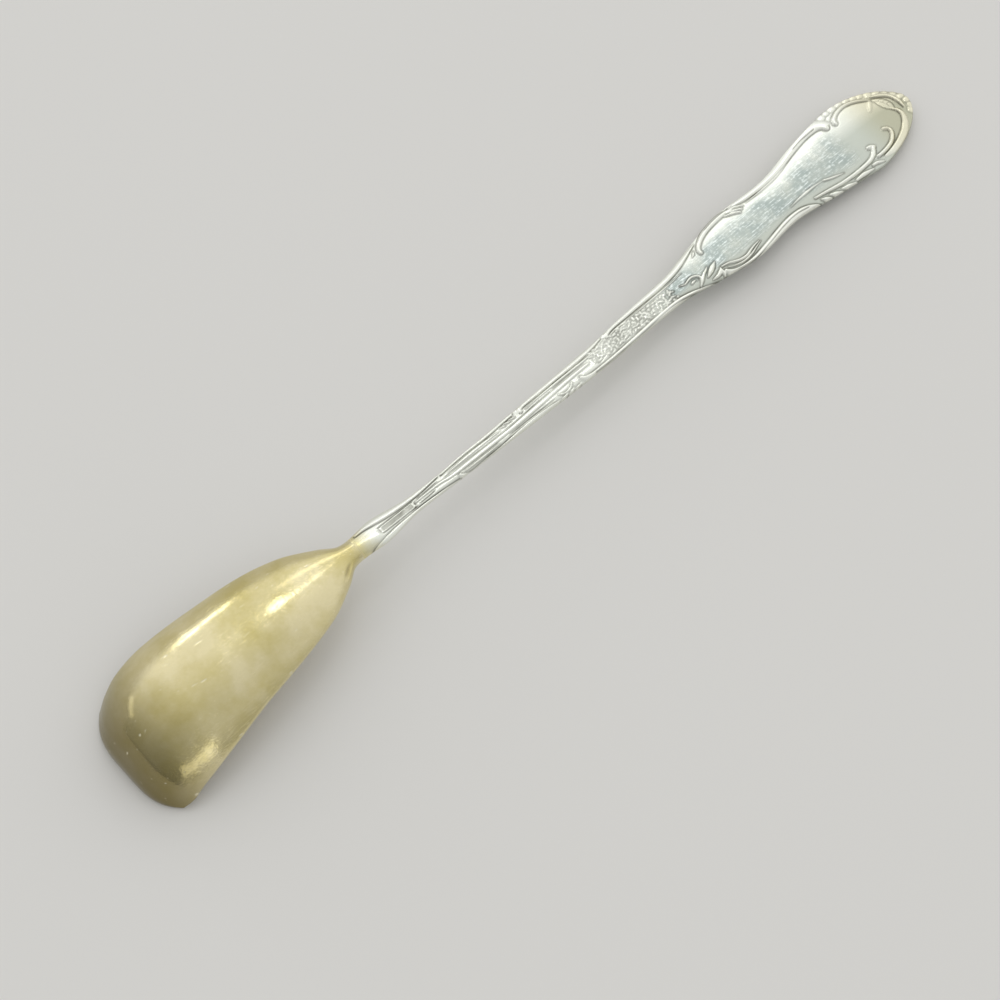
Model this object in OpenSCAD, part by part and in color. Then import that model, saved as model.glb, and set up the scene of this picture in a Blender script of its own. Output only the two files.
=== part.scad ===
/* [Overall] */
// Length from the tip of the bowl to the end of the handle
overall_length = 154; // [140:1:168]
// Thickness of the solder layer between bowl and handle
solder_thickness = 0.3; // [0.2:0.05:0.5]

/* [Bowl] */
// Length of the bowl from its tip to the solder joint
bowl_length = 41.6; // [36:0.2:48]
// Greatest width of the bowl, just behind its tip
bowl_width = 20; // [16:0.5:24]
// How far the corners of the tip sweep back from its middle
tip_sweep = 3; // [2:0.1:4]
// Height of the side rims above the tip's edge
rim_rise = 6.9; // [5.5:0.1:8]
// Rise of the crown above the rims in the middle of the bowl
crown_rise = 4.9; // [4:0.1:6]
// Rise of the crown above the rims behind the tip's wall
tip_rise = 6.9; // [5.5:0.1:8]
// Thickness of the bowl's wall
wall = 1; // [0.8:0.1:1.3]

/* [Neck] */
// Width of the neck at the solder joint
neck_width = 3.7; // [3.2:0.1:4.4]
// Rise of the neck's back above its edges
neck_back = 1.5; // [1.2:0.1:1.8]
// Drop of the neck's front below its edges
neck_front = 1.2; // [0.9:0.1:1.5]

/* [Handle outline] */
// Width over the shoulders, where the raised borders begin
shoulder_width = 4.3; // [3.8:0.1:4.8]
// Width of the stem at its narrowest
stem_width = 2.6; // [2.2:0.1:3.2]
// Width of the stem below the first swell
upper_stem_width = 4.8; // [4:0.1:5.5]
// Width of the first swell
swell_width = 9.6; // [8:0.1:11]
// Width of the waist above the first swell
waist_width = 8.5; // [7:0.1:9.5]
// Greatest width of the rounded terminal
terminal_width = 13.1; // [11:0.1:15]
// Length of the rounded end, from the greatest width to the end
terminal_nose = 12.5; // [10:0.5:15]

/* [Handle section] */
// Thickness of the terminal's edge
edge_thickness = 1.1; // [0.8:0.1:1.4]
// Crown of the terminal's front face, which touches the table
front_crown = 0.6; // [0.4:0.1:0.9]
// Crown of the terminal's back panel
panel_crown = 0.55; // [0.3:0.05:0.8]
// Height of the stem's edges above the table, half way up the stem
stem_height = 5.2; // [4.5:0.1:6]
// Drop of the stem's front below its edges
stem_front = 1.65; // [1.4:0.05:2]
// Height of the very end's front above the table
end_rise = 0.2; // [0.1:0.05:0.4]
// Width of the raised border along each edge
border_width = 1.15; // [0.8:0.05:1.5]
// Height of the raised border above the back
border_height = 0.3; // [0.2:0.05:0.5]
// How far the outline leans to the sides along its length
sway = 0.5; // [0:0.05:0.8]

/* [Hidden] */

// Rows and columns of the lofts
bowl_rows = 40;
bowl_columns = 24;
handle_rows = 64;
nose_rows = 12;
border_columns = 6;
panel_columns = 10;

// Shape of the arched sections and of the rounded ends
arch_power = 2.3;
stem_power = 3.2;
tip_power = 3.5;
nose_power = 1.85;
// Share of the rounded end's curve that is used, so that it stays a little blunt
nose_share = 0.997;
// Row spacing, closest at the tip of the bowl
tip_spacing = 1.6;
// Length over which the rows straighten behind the tip
tip_fade = 16;
// Part of the tip's edge that stays level on the table
tip_level = 0.6;
// Width of the flat edge under the neck
neck_edge = 0.25;

handle_start = bowl_length + solder_thickness;
handle_length = overall_length - handle_start;
nose_start = overall_length - terminal_nose;
terminal_height = edge_thickness + front_crown;

// Height of a smooth curve through [x, value] stations that never overshoots them
function rise(p, i) = (p[i + 1][1] - p[i][1]) / (p[i + 1][0] - p[i][0]);
function knot_slope(p, i) =
    i == 0 ? rise(p, 0) :
    i == len(p) - 1 ? rise(p, i - 1) :
    rise(p, i - 1) * rise(p, i) <= 0 ? 0 :
    2 * rise(p, i - 1) * rise(p, i) / (rise(p, i - 1) + rise(p, i));
function span(p, x, i = 0) = i >= len(p) - 2 || x < p[i + 1][0] ? i : span(p, x, i + 1);
function curve(p, x) =
    let (
        i = span(p, x),
        h = p[i + 1][0] - p[i][0],
        t = min(1, max(0, (x - p[i][0]) / h)),
        a = knot_slope(p, i) * h,
        b = knot_slope(p, i + 1) * h,
        d = p[i + 1][1] - p[i][1]
    )
    p[i][1] + t * (a + t * (3 * d - 2 * a - b + t * (a + b - 2 * d)));

// A point at a share of the bowl's or of the handle's length
function bowl_at(share) = share * bowl_length;
function handle_at(share) = handle_start + share * handle_length;

// Stations measured from the tip of the bowl
sway_line = [
    [0, -1.2 * sway],
    [bowl_at(0.07), -1.3 * sway],
    [bowl_at(0.18), 0.1 * sway],
    [bowl_at(0.3), 0.7 * sway],
    [bowl_at(0.65), 1.1 * sway],
    [bowl_length, 0.2 * sway],
    [handle_at(0.16), -0.7 * sway],
    [handle_at(0.37), -0.9 * sway],
    [handle_at(0.52), 0],
    [handle_at(0.69), 0.6 * sway],
    [handle_at(0.94), 1.1 * sway],
    [overall_length, 0.8 * sway],
];
bowl_outline = [
    [tip_sweep, 0.45 * bowl_width],
    [bowl_at(0.12), 0.485 * bowl_width],
    [bowl_at(0.2), 0.497 * bowl_width],
    [bowl_at(0.5), 0.425 * bowl_width],
    [bowl_at(0.65), 0.38 * bowl_width],
    [bowl_at(0.79), 0.307 * bowl_width],
    [bowl_at(0.91), 0.178 * bowl_width],
    [bowl_at(0.965), 0.55 * neck_width],
    [bowl_length, 0.5 * neck_width],
];
rim_line = [
    [0, 0],
    [tip_level, 0],
    [bowl_at(0.17), 0.44 * rim_rise],
    [bowl_at(0.29), 0.71 * rim_rise],
    [bowl_at(0.46), 0.92 * rim_rise],
    [bowl_at(0.72), rim_rise],
    [bowl_length, rim_rise],
];
crown_line = [
    [0, 0],
    [bowl_at(0.012), 0.36 * tip_rise],
    [bowl_at(0.024), 0.54 * tip_rise],
    [bowl_at(0.048), 0.78 * tip_rise],
    [bowl_at(0.084), 0.94 * tip_rise],
    [bowl_at(0.14), tip_rise],
    [bowl_at(0.48), crown_rise],
    [bowl_at(0.67), 0.82 * crown_rise],
    [bowl_at(0.82), 0.6 * crown_rise],
    [bowl_length, neck_back],
];
wall_line = [
    [0, 0],
    [bowl_at(0.1), wall],
    [bowl_at(0.67), wall],
    [bowl_at(0.91), 0.43 * crown_rise],
    [bowl_length, neck_back + neck_front],
];
wall_edge_line = [
    [0, wall],
    [bowl_at(0.72), wall],
    [bowl_at(0.91), 0.5 * wall],
    [bowl_length, neck_edge],
];
handle_outline = [
    [handle_start, 0.5 * neck_width],
    [handle_at(0.028), 0.5 * shoulder_width],
    [handle_at(0.095), 0.5 * stem_width],
    [handle_at(0.24), 0.63 * stem_width],
    [handle_at(0.42), 0.44 * upper_stem_width],
    [handle_at(0.535), 0.5 * upper_stem_width],
    [handle_at(0.6), 0.38 * swell_width],
    [handle_at(0.665), 0.5 * swell_width],
    [handle_at(0.735), 0.5 * waist_width],
    [handle_at(0.815), 0.42 * terminal_width],
    [nose_start, 0.5 * terminal_width],
];
edge_line = [
    [handle_start, rim_rise],
    [handle_at(0.28), stem_height],
    [handle_at(0.55), 0.72 * stem_height],
    [handle_at(0.78), 0.54 * stem_height],
    [handle_at(0.95), terminal_height],
    [overall_length, end_rise + edge_thickness],
];
back_line = [
    [handle_start, neck_back],
    [handle_at(0.05), 0.68 * neck_back],
    [handle_at(0.14), 0.5 * neck_back],
    [handle_at(0.42), 0.47 * neck_back],
    [handle_at(0.66), 1.3 * panel_crown],
    [handle_at(0.88), panel_crown],
    [overall_length, 0.6 * panel_crown],
];
front_line = [
    [handle_start, rim_rise - neck_front],
    [handle_at(0.28), stem_height - stem_front],
    [handle_at(0.55), 0.72 * stem_height - stem_front],
    [handle_at(0.78), 0.54 * stem_height - stem_front],
    [handle_at(0.95), 0],
    [overall_length, end_rise],
];
edge_thickness_line = [
    [handle_start, 0],
    [handle_at(0.07), 0.45 * edge_thickness],
    [handle_at(0.5), 0.7 * edge_thickness],
    [handle_at(0.88), edge_thickness],
    [overall_length, 0.8 * edge_thickness],
];
border_line = [
    [handle_start, 0],
    [handle_at(0.035), 1],
    [overall_length, 1],
];
back_power_line = [
    [handle_start, arch_power],
    [handle_at(0.05), stem_power],
    [handle_at(0.5), stem_power],
    [handle_at(0.7), arch_power],
    [overall_length, arch_power],
];

// Arched section, 1 in the middle and 0 at both edges
function arch(t) = 1 - pow(abs(t), arch_power);
function fade(run) = pow(max(0, 1 - run / tip_fade), 2);

// One point of the bowl's outside or inside: run along the axis, t across from -1 to 1
function bowl_run(run, t) = run + tip_sweep * pow(abs(t), tip_power) * fade(run);
function bowl_half(run) = curve(bowl_outline, bowl_run(run, 1));
function bowl_outer(run, t) =
    let (x = bowl_run(run, t))
    [x, curve(sway_line, x) + t * bowl_half(run), curve(rim_line, x) + curve(crown_line, run) * arch(t)];
function bowl_inner(run, t) =
    let (
        x = bowl_run(run, t),
        half = bowl_half(run) - curve(wall_edge_line, run),
        rise = curve(crown_line, run) - curve(wall_line, run)
    )
    [
        x + wall * (1 - abs(t) / 2) * fade(run),
        curve(sway_line, x) + t * half,
        curve(rim_line, x) + rise * arch(t)
    ];
function across(count) = [for (j = [0:count]) 2 * j / count - 1];
function bowl_ring(run) = concat(
    [for (t = across(bowl_columns)) bowl_outer(run, t)],
    [for (t = across(bowl_columns)) bowl_inner(run, -t)]
);

// One section of the handle, with its back above, its bevelled edges and its front below
function nose_half(share) = terminal_width / 2 * pow(1 - pow(nose_share * share, nose_power), 1 / nose_power);
function handle_half(run) =
    run <= nose_start ? curve(handle_outline, run) : nose_half((run - nose_start) / terminal_nose);
function border_at(half) = min(border_width, 0.45 * half);
function bordered(y, half) =
    let (
        border = border_at(half),
        inset = half - abs(y)
    )
    inset < border ? border_height * sin(180 * inset / border) : 0;
function handle_back(run, y) =
    let (
        half = handle_half(run),
        vault = 1 - pow(abs(y / half), curve(back_power_line, run))
    )
    curve(edge_line, run) + curve(back_line, run) * vault + curve(border_line, run) * bordered(y, half);
function back_stops(half) =
    let (
        border = border_at(half),
        panel = half - border
    )
    concat(
        [for (j = [0:border_columns - 1]) border * j / border_columns - half],
        [for (t = across(panel_columns)) t * panel],
        [for (j = [border_columns - 1:-1:0]) half - border * j / border_columns]
    );
function handle_ring(run) =
    let (
        half = handle_half(run),
        lean = curve(sway_line, run),
        floor_share = 1 - min(neck_edge / half, 0.3),
        floor_edge = curve(edge_line, run) - curve(edge_thickness_line, run),
        floor_drop = floor_edge - curve(front_line, run)
    )
    concat(
        [for (y = back_stops(half)) [run, lean + y, handle_back(run, y)]],
        [for (y = back_stops(half)) [run, lean - y * floor_share, floor_edge - floor_drop * arch(y / half)]]
    );

// Skin over rings of equal length. Each end is a strip that joins the ring's upper and lower halves
module loft(rings) {
    count = len(rings[0]);
    last = len(rings) - 1;
    end = last * count;
    points = [for (ring = rings) each ring];
    sides = [for (i = [0:last - 1], j = [0:count - 1])
        let (
            k = (j + 1) % count,
            a = i * count,
            b = a + count
        )
        each [[a + j, b + j, b + k], [a + j, b + k, a + k]]];
    first_cap = [for (j = [0:count / 2 - 2])
        let (k = count - 1 - j)
        each [[j, j + 1, k - 1], [j, k - 1, k]]];
    last_cap = [for (f = first_cap) [end + f[0], end + f[2], end + f[1]]];
    polyhedron(points, concat(sides, first_cap, last_cap));
}

// Moves a shape from the tip of the bowl to the middle of the spoon
module centred() {
    translate([-overall_length / 2, 0, 0])
        children();
}

module bowl() {
    runs = [for (i = [0:bowl_rows]) bowl_length * pow(i / bowl_rows, tip_spacing)];
    color("darkkhaki")
        centred()
            loft([for (run = runs) bowl_ring(run)]);
}

module solder_seam() {
    outline = [for (p = bowl_ring(bowl_length)) [p[1], p[2]]];
    color("gainsboro")
        centred()
            translate([bowl_length, 0, 0])
                rotate([90, 0, 90])
                    linear_extrude(solder_thickness)
                        polygon(outline);
}

module handle() {
    body_runs = [for (i = [0:handle_rows - 1]) handle_start + (nose_start - handle_start) * i / handle_rows];
    nose_runs = [for (i = [0:nose_rows]) nose_start + terminal_nose * sin(90 * i / nose_rows)];
    color("silver")
        centred()
            loft([for (run = concat(body_runs, nose_runs)) handle_ring(run)]);
}

bowl();
solder_seam();
handle();
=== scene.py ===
import math

import bmesh
import bpy
import numpy as np
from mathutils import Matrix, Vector


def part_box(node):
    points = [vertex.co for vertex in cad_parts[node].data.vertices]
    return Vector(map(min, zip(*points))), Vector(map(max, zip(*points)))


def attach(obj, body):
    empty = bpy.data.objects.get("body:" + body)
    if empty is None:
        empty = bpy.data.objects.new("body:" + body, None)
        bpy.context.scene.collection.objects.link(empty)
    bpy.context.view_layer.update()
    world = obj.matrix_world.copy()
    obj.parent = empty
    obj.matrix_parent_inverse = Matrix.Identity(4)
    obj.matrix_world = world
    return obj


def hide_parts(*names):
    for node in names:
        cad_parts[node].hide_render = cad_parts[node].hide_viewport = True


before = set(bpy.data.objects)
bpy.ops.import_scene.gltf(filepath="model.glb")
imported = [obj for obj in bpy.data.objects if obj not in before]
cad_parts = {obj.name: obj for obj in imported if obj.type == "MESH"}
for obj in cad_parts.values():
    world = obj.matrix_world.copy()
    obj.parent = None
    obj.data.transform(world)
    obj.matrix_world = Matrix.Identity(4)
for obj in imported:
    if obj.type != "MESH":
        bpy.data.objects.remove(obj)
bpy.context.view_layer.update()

# Camera: looks down on the back of the spoon from the bowl's side,
# with the bowl low on the left and the handle running to the upper right.
MM = 0.001
view_azimuth = math.radians(226.62)
view_elevation = math.radians(66)
view_distance = 259.5
view_aim = Vector((-14.33, -5.66, 0.28))
view_field = math.radians(30)
view_nearest = 10.0

view_ray = Vector((
    math.cos(view_elevation) * math.cos(view_azimuth),
    math.cos(view_elevation) * math.sin(view_azimuth),
    math.sin(view_elevation),
))
camera = bpy.data.objects.new("camera", bpy.data.cameras.new("camera"))
camera.data.sensor_fit = "HORIZONTAL"
camera.data.angle = view_field
camera.data.clip_start = view_nearest * MM
camera.location = (view_aim + view_distance * view_ray) * MM
camera.rotation_euler = (-view_ray).to_track_quat("-Z", "Y").to_euler()
bpy.context.collection.objects.link(camera)
bpy.context.scene.camera = camera
bpy.context.scene.view_settings.view_transform = "Standard"


# Bowl: a thin scoop raised from silver sheet, with a blunt tip that turns down and a solid neck.
# It is gilt all over, and the gold has worn pale and thin towards the neck.
# All lengths are in mm, and a run is measured from the tip of the bowl along the spoon.
bowl_low, bowl_high = [Vector(corner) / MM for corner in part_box("bowl")]
handle_low, handle_high = [Vector(corner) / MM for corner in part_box("handle")]
tip_x = bowl_low.x
bowl_length = bowl_high.x - tip_x
handle_start = handle_low.x - tip_x
spoon_length = handle_high.x - tip_x
handle_length = spoon_length - handle_start
bowl_width = 20.0
bowl_wall = 1.0
lip_round = 0.4
joint_round = 0.12
tip_sweep = 3.0
tip_power = 3.5
tip_fade = 16.0
tip_level = 0.6
rim_rise = 6.9
crown_rise = 4.9
tip_rise = 6.9
neck_width = 3.7
neck_back = 1.5
neck_front = 1.2
neck_edge = 0.25
sway = 0.5
arch_power = 2.3


def bowl_at(share):
    """The run at a share of the bowl's length."""
    return share * bowl_length


def handle_at(share):
    """The run at a share of the handle's length."""
    return handle_start + share * handle_length


sway_line = [
    (0, -1.2 * sway), (bowl_at(0.07), -1.3 * sway), (bowl_at(0.18), 0.1 * sway),
    (bowl_at(0.3), 0.7 * sway), (bowl_at(0.65), 1.1 * sway), (bowl_length, 0.2 * sway),
    (handle_at(0.16), -0.7 * sway), (handle_at(0.37), -0.9 * sway), (handle_at(0.52), 0),
    (handle_at(0.69), 0.6 * sway), (handle_at(0.94), 1.1 * sway), (spoon_length, 0.8 * sway),
]
bowl_outline = [
    (tip_sweep, 0.45 * bowl_width), (bowl_at(0.12), 0.485 * bowl_width),
    (bowl_at(0.2), 0.497 * bowl_width), (bowl_at(0.5), 0.425 * bowl_width),
    (bowl_at(0.65), 0.38 * bowl_width), (bowl_at(0.79), 0.307 * bowl_width),
    (bowl_at(0.91), 0.178 * bowl_width), (bowl_at(0.965), 0.55 * neck_width),
    (bowl_at(0.99), 0.504 * neck_width), (bowl_length, 0.5 * neck_width),
]
rim_line = [
    (0, 0), (tip_level, 0), (bowl_at(0.17), 0.44 * rim_rise), (bowl_at(0.29), 0.71 * rim_rise),
    (bowl_at(0.46), 0.92 * rim_rise), (bowl_at(0.72), rim_rise), (bowl_length, rim_rise),
]
crown_line = [
    (0, 0), (bowl_at(0.012), 0.36 * tip_rise), (bowl_at(0.024), 0.54 * tip_rise),
    (bowl_at(0.048), 0.78 * tip_rise), (bowl_at(0.084), 0.94 * tip_rise), (bowl_at(0.14), tip_rise),
    (bowl_at(0.48), crown_rise), (bowl_at(0.67), 0.82 * crown_rise), (bowl_at(0.82), 0.6 * crown_rise),
    (bowl_length, neck_back),
]
wall_line = [
    (0, 0), (bowl_at(0.1), bowl_wall), (bowl_at(0.67), bowl_wall), (bowl_at(0.91), 0.43 * crown_rise),
    (bowl_length, neck_back + neck_front),
]
wall_edge_line = [
    (0, bowl_wall), (bowl_at(0.72), bowl_wall), (bowl_at(0.91), 0.5 * bowl_wall),
    (bowl_length, neck_edge),
]


def through(stations, place):
    """A smooth curve through (place, value) stations that never overshoots them."""
    places, values = np.array(stations, dtype=float).T
    steps = np.diff(places)
    slopes = np.diff(values) / steps
    product = slopes[:-1] * slopes[1:]
    total = np.where(product > 0, slopes[:-1] + slopes[1:], 1)
    inner = np.where(product > 0, 2 * product / total, 0)
    knots = np.concatenate([slopes[:1], inner, slopes[-1:]])
    place = np.clip(place, places[0], places[-1])
    i = np.clip(np.searchsorted(places, place, side="right") - 1, 0, len(steps) - 1)
    t = (place - places[i]) / steps[i]
    a = knots[i] * steps[i]
    b = knots[i + 1] * steps[i]
    d = values[i + 1] - values[i]
    return values[i] + t * (a + t * (3 * d - 2 * a - b + t * (a + b - 2 * d)))


def arch(across, power=arch_power):
    """Section of a shallow vault: 1 in the middle, 0 at both edges."""
    return 1 - np.abs(across) ** power


def bowl_skins(run, across):
    """Outer and inner skin of the bowl, at a run from its tip and a share across from -1 to 1."""
    fade = np.clip(1 - run / tip_fade, 0, 1) ** 2
    x = run + tip_sweep * np.abs(across) ** tip_power * fade
    half = through(bowl_outline, run + tip_sweep * fade)
    lean = through(sway_line, x)
    rim = through(rim_line, x)
    rise = through(crown_line, run)
    inner_half = half - through(wall_edge_line, run)
    inner_rise = rise - through(wall_line, run)
    inner_x = x + bowl_wall * (1 - np.abs(across) / 2) * fade
    outer = np.stack([x, lean + across * half, rim + rise * arch(across)], axis=-1)
    inner = np.stack([inner_x, lean + across * inner_half, rim + inner_rise * arch(across)], axis=-1)
    return outer, inner, half


def ring_grid(rows, columns):
    """A sheet of faces, with each vertex's share along the piece and around its section."""
    bm = bmesh.new()
    bmesh.ops.create_grid(bm, x_segments=rows, y_segments=columns, size=0.5)
    places = np.array([vert.co for vert in bm.verts])
    return bm, np.clip(places[:, 0] + 0.5, 0, 1), np.clip(places[:, 1] + 0.5, 0, 1)


def rounded(outer, inner, inset, outside, radius):
    """Draws two skins together in a half round where they reach an edge."""
    middle = (outer + inner) / 2
    open_share = np.sqrt(1 - (1 - np.clip(inset / radius, 0, 1)) ** 2)
    skin = np.where(outside[:, None], outer, inner)
    return middle + (skin - middle) * open_share[:, None]


def wrapped(bm, name, points):
    """Wraps a ring grid round its section, closes its seam and ends, and makes the object."""
    for vert, point in zip(bm.verts, points * MM):
        vert.co = point
    bmesh.ops.remove_doubles(bm, verts=bm.verts, dist=1e-6)
    bmesh.ops.dissolve_degenerate(bm, edges=bm.edges, dist=1e-7)
    for face in bm.faces:
        face.smooth = True
    for end in bmesh.ops.holes_fill(bm, edges=[e for e in bm.edges if e.is_boundary], sides=0)["faces"]:
        for edge in end.edges:
            edge.smooth = False
    bmesh.ops.recalc_face_normals(bm, faces=bm.faces)
    mesh = bpy.data.meshes.new(name)
    bm.to_mesh(mesh)
    bm.free()
    piece = bpy.data.objects.new(name, mesh)
    bpy.context.collection.objects.link(piece)
    return piece


def stroke_path(points, steps=10):
    """A smooth line through given points."""
    p = np.array(points, dtype=float)
    p = np.vstack([2 * p[0] - p[1], p, 2 * p[-1] - p[-2]])
    t = np.linspace(0, 1, steps, endpoint=False)[:, None]
    parts = []
    for a, b, c, d in zip(p[:-3], p[1:-2], p[2:-1], p[3:]):
        bend = 2 * a - 5 * b + 4 * c - d + t * (3 * b - a - 3 * c + d)
        parts.append(b + 0.5 * t * (c - a + t * bend))
    return np.vstack(parts + [p[-2:-1]])


def nearest(points, spots, reach):
    """The spots round a stroke, with their gap to its line, their share along it and their step off it."""
    path = stroke_path(points)
    inside = (spots > path.min(axis=0) - reach) & (spots < path.max(axis=0) + reach)
    pick = np.flatnonzero(inside.all(axis=1))
    start = path[:-1]
    step = path[1:] - start
    length = np.linalg.norm(step, axis=1)
    gaps = spots[pick][:, None] - start
    t = np.clip((gaps * step).sum(axis=2) / length ** 2, 0, 1)
    gaps = gaps - t[..., None] * step
    gap = np.linalg.norm(gaps, axis=2)
    row = np.arange(len(pick))
    i = gap.argmin(axis=1)
    share = ((np.cumsum(length) - length)[i] + t[row, i] * length[i]) / length.sum()
    return pick, gap[row, i], share, gaps[row, i]


def tagged(bm, **layers):
    """Keeps values of every vertex as attributes that the material can read."""
    for name, values in layers.items():
        layer = bm.verts.layers.float.new(name)
        for vert, value in zip(bm.verts, values):
            vert[layer] = value


bowl_rows = 190
bowl_columns = 176
row_spacing = 1.8
tip_rows_share = 0.72
neck_rows_start = 33.0
bm, along, around = ring_grid(bowl_rows, bowl_columns)
outside = around < 0.5
across = np.sin(np.pi / 2 * np.where(outside, 4 * around - 1, 3 - 4 * around))
tip_share = np.clip(along / tip_rows_share, 0, 1)
neck_share = np.clip((along - tip_rows_share) / (1 - tip_rows_share), 0, 1)
run = neck_rows_start * tip_share ** row_spacing + (bowl_length - neck_rows_start) * neck_share
outer, inner, half = bowl_skins(run, across)
# Beside the neck the near lip is folded up into a small ridge, with a crease behind it.
fold_line = [(37.4, -3.2), (38.3, -2.62), (39.1, -2.1), (39.9, -1.68), (40.7, -1.5)]
fold_width = 0.62
fold_height = 0.22
fold_reach = 1.0
crease_line = [(37.5, -2.62), (38.3, -2.1), (39.1, -1.6), (39.7, -1.25)]
crease_width = 0.45
crease_depth = 0.08
pick, gap, share, _ = nearest(fold_line, outer[:, :2], fold_reach)
outer[pick, 2] += fold_height * np.exp(-(2 * gap / fold_width) ** 2) * np.sin(np.pi * share)
pick, gap, share, _ = nearest(crease_line, outer[:, :2], fold_reach)
crease = np.zeros(len(run))
crease[pick] = np.exp(-(2 * gap / crease_width) ** 2) * np.sin(np.pi * share)
outer[:, 2] -= crease_depth * crease
inset = np.minimum((1 - np.abs(across)) * half, run)
lip = through([(0, lip_round), (bowl_at(0.9), lip_round), (bowl_length, joint_round)], run)
points = rounded(outer, inner, inset, outside, lip)
points[:, 0] += tip_x
points[:, 2] = np.minimum(points[:, 2], bowl_high.z)
# A pale band along the rim, fading in from the tip: partly worn gilding, partly a painted highlight on the
# rim's edge.
lip_band = 0.3
lip_start = 8.0
lip_wear = np.exp(-(inset / lip_band) ** 2) * np.clip(run / lip_start, 0, 1)
tagged(bm, lip_wear=lip_wear, crease=np.where(outside, crease, 0))
bowl = wrapped(bm, "bowl_gilt", points)


def linear(code):
    """sRGB hex to the linear colour that a socket takes."""
    parts = [int(code[i:i + 2], 16) / 255 for i in (1, 3, 5)]
    return [c / 12.92 if c <= 0.04045 else ((c + 0.055) / 1.055) ** 2.4 for c in parts] + [1]


def add(tree, kind, inputs=None, **settings):
    """Adds a node with its settings, and fills its inputs with values or with other nodes' sockets."""
    node = tree.nodes.new(kind)
    for name, value in settings.items():
        setattr(node, name, value)
    for socket, value in (inputs or {}).items():
        if isinstance(value, bpy.types.NodeSocket):
            tree.links.new(value, node.inputs[socket])
        else:
            node.inputs[socket].default_value = value
    return node


# Gilt silver, raised and hand polished: a pale olive gold with a soft gloss. Slow waves left by the
# hammer bend its reflections, hair scratches and a few nicks cross it, fine pits make its highlights
# sparkle, and the gold thins to silver at the neck. The tip is darkened to olive brown as a painted
# dark reflection, a pale band along the rim is partly worn gilding and partly a painted highlight,
# and the crease beside the neck takes painted shade.
deep_gold = linear("#D0C283")
pale_gold = linear("#E6DAAE")
thin_gold = linear("#E2DDC0")
tip_reflection_gold = linear("#695E3B")
rubbed_and_lit_gold = linear("#EBE6CE")
crease_shade_colour = linear("#6F6440")
bared_silver = linear("#F4EED2")
patch_size = 8 * MM
thin_before = 1.2
thin_after = 1.6
thin_start = (tip_x + bowl_length - thin_before) * MM
thin_end = (tip_x + bowl_length + thin_after) * MM
ragged_size = 1.6 * MM
ragged_reach = 2.4 * MM
# The tip's olive brown is a painted dark reflection, fading out over this length from the tip.
tip_reflection_length = 12.0
tip_reflection_start = tip_x * MM
tip_reflection_end = (tip_x + tip_reflection_length) * MM
tip_reflection_share = 0.85
rubbed_and_lit_share = 0.7
crease_shade_share = 0.35
gilt = bpy.data.materials.new("gilt_silver_polished")
gilt.use_nodes = True
tree = gilt.node_tree
tree.nodes.clear()
place = add(tree, "ShaderNodeTexCoord").outputs["Object"]
lengthwise = add(tree, "ShaderNodeSeparateXYZ", {"Vector": place}).outputs["X"]
patch = add(tree, "ShaderNodeTexNoise", {
    "Vector": place, "Scale": 1 / patch_size, "Detail": 5.0, "Roughness": 0.62}).outputs["Fac"]
paler = add(tree, "ShaderNodeMapRange", {
    "Value": patch, "From Min": 0.35, "From Max": 0.65}).outputs["Result"]
colour = add(tree, "ShaderNodeMix", {
    "Factor": paler, "A": deep_gold, "B": pale_gold}, data_type="RGBA").outputs["Result"]
ragged = add(tree, "ShaderNodeTexNoise", {
    "Vector": place, "Scale": 1 / ragged_size, "Detail": 3.0}).outputs["Fac"]
worn_at = add(tree, "ShaderNodeMath", {
    0: ragged, 1: ragged_reach, 2: lengthwise}, operation="MULTIPLY_ADD").outputs["Value"]
worn = add(tree, "ShaderNodeMapRange", {
    "Value": worn_at, "From Min": thin_start + ragged_reach / 2, "From Max": thin_end + ragged_reach / 2},
    interpolation_type="SMOOTHSTEP").outputs["Result"]
colour = add(tree, "ShaderNodeMix", {
    "Factor": worn, "A": colour, "B": thin_gold}, data_type="RGBA").outputs["Result"]
# Painted dark reflection: the gold darkens towards olive brown at the tip.
tip_reflected = add(tree, "ShaderNodeMapRange", {
    "Value": lengthwise, "From Min": tip_reflection_start, "From Max": tip_reflection_end,
    "To Min": tip_reflection_share, "To Max": 0.0}, interpolation_type="SMOOTHSTEP").outputs["Result"]
colour = add(tree, "ShaderNodeMix", {
    "Factor": tip_reflected, "A": colour, "B": tip_reflection_gold}, data_type="RGBA").outputs["Result"]
# The pale rim band: worn gilding and painted highlight.
lip_rub_and_highlight = add(tree, "ShaderNodeAttribute", attribute_name="lip_wear").outputs["Fac"]
lip_rubbed_and_lit = add(tree, "ShaderNodeMath", {
    0: lip_rub_and_highlight, 1: rubbed_and_lit_share}, operation="MULTIPLY").outputs["Value"]
colour = add(tree, "ShaderNodeMix", {
    "Factor": lip_rubbed_and_lit, "A": colour, "B": rubbed_and_lit_gold}, data_type="RGBA").outputs["Result"]
# The crease behind the folded lip is darkened with painted shade.
creased = add(tree, "ShaderNodeAttribute", attribute_name="crease").outputs["Fac"]
crease_shaded = add(tree, "ShaderNodeMath", {
    0: creased, 1: crease_shade_share}, operation="MULTIPLY").outputs["Value"]
colour = add(tree, "ShaderNodeMix", {
    "Factor": crease_shaded, "A": colour, "B": crease_shade_colour}, data_type="RGBA").outputs["Result"]
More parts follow.
